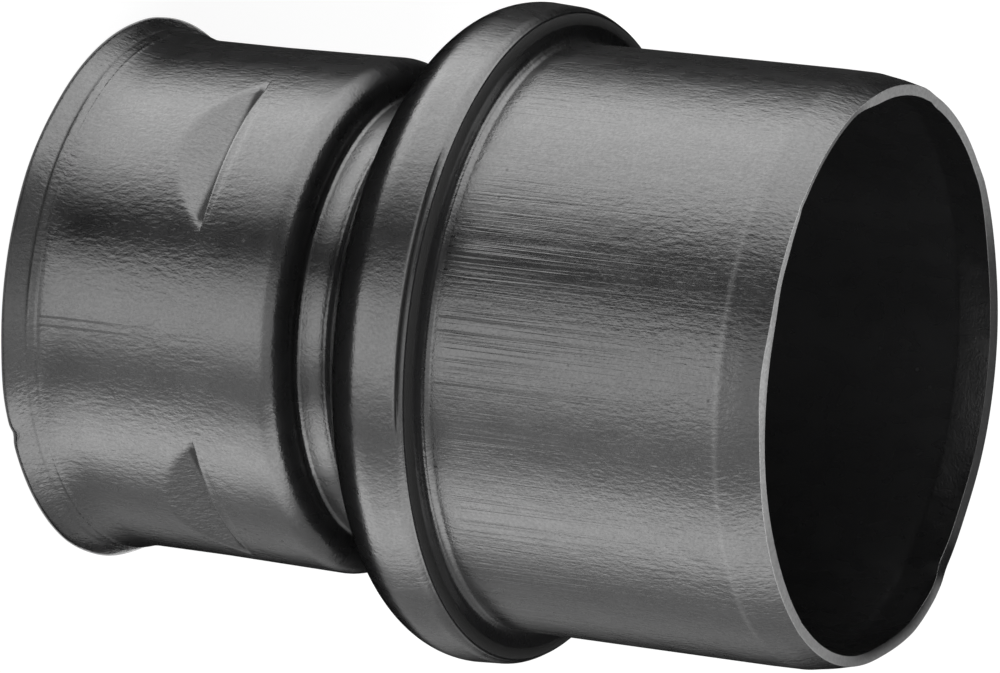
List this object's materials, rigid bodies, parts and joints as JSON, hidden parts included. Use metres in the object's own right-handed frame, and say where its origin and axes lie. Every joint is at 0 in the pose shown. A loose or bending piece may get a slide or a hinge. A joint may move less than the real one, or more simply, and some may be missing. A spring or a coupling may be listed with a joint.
{
  "type": "pvc drain transition fitting",
  "caption": "Thin-walled black plastic transition fitting: a flared click socket for corrugated drain pipe, a waist, a rounded stop bead and a plain tapered-nose spigot for smooth pipe.",
  "frame": {"origin": "on the fitting's axis, in the plane of the flared lip that it stands on", "axes": "+Z along the axis from the socket's lip to the spigot's mouth, with catch pockets on +X, +Y, -X and -Y; the picture's camera looks from between +X and -Y, from the mouth's side"},
  "size_m": [0.1238, 0.1238, 0.1555],
  "materials": {
    "black_plastic": "semi-matt moulded plastic with fine lines along the axis"
  },
  "bodies": {
    "root": {"transition_fitting": "black_plastic"}
  },
  "joints": []
}
